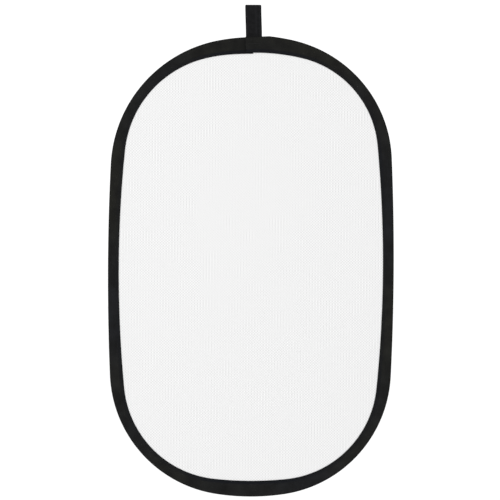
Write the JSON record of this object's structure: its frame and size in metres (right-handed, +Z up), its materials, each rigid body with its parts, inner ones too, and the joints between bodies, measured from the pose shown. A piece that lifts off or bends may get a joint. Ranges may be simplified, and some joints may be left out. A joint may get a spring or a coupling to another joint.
{
  "type": "collapsible reflector disc",
  "caption": "Oval white cloth reflector stretched in a spring-steel hoop, with a folded black casing round the rim and a webbing loop to hang it by.",
  "frame": {"origin": "where a hook bears, at the top of the eye of the hanging loop, on the loop's middle", "axes": "+Z up along the loop, -Y out of the disc's front face, +X to the right as the front is faced"},
  "size_m": [0.696, 0.0102, 1.1995],
  "materials": {
    "panel_cloth": "plain white woven polyester",
    "casing_cloth": "black twill",
    "webbing": "black woven webbing",
    "thread": "black spun polyester thread",
    "spring_steel": "rolled and tempered",
    "crimp_steel": "plain",
    "shrink_tube": "matt"
  },
  "bodies": {
    "loop": {"hanging_loop": "webbing"},
    "disc": {"loop_legs": "webbing", "loop_bartack_thread_front": "thread", "loop_bartack_thread_back": "thread", "rim_casing": "casing_cloth", "panel": "panel_cloth", "hoop_band": "spring_steel", "splice_sleeve": "crimp_steel", "splice_shrink_tube": "shrink_tube", "hem_thread_front_inner_row": "thread", "hem_thread_front_outer_row": "thread", "hem_thread_back_inner_row": "thread", "hem_thread_back_outer_row": "thread", "lap_thread_front": "thread", "lap_thread_back": "thread"}
  },
  "joints": [
    {"name": "loop_swing", "type": "hinge", "parent": "loop", "child": "disc", "pos_m": [0, 0, -0.0705], "axis": [1, 0, 0], "range_deg": [-120, 120]}
  ]
}
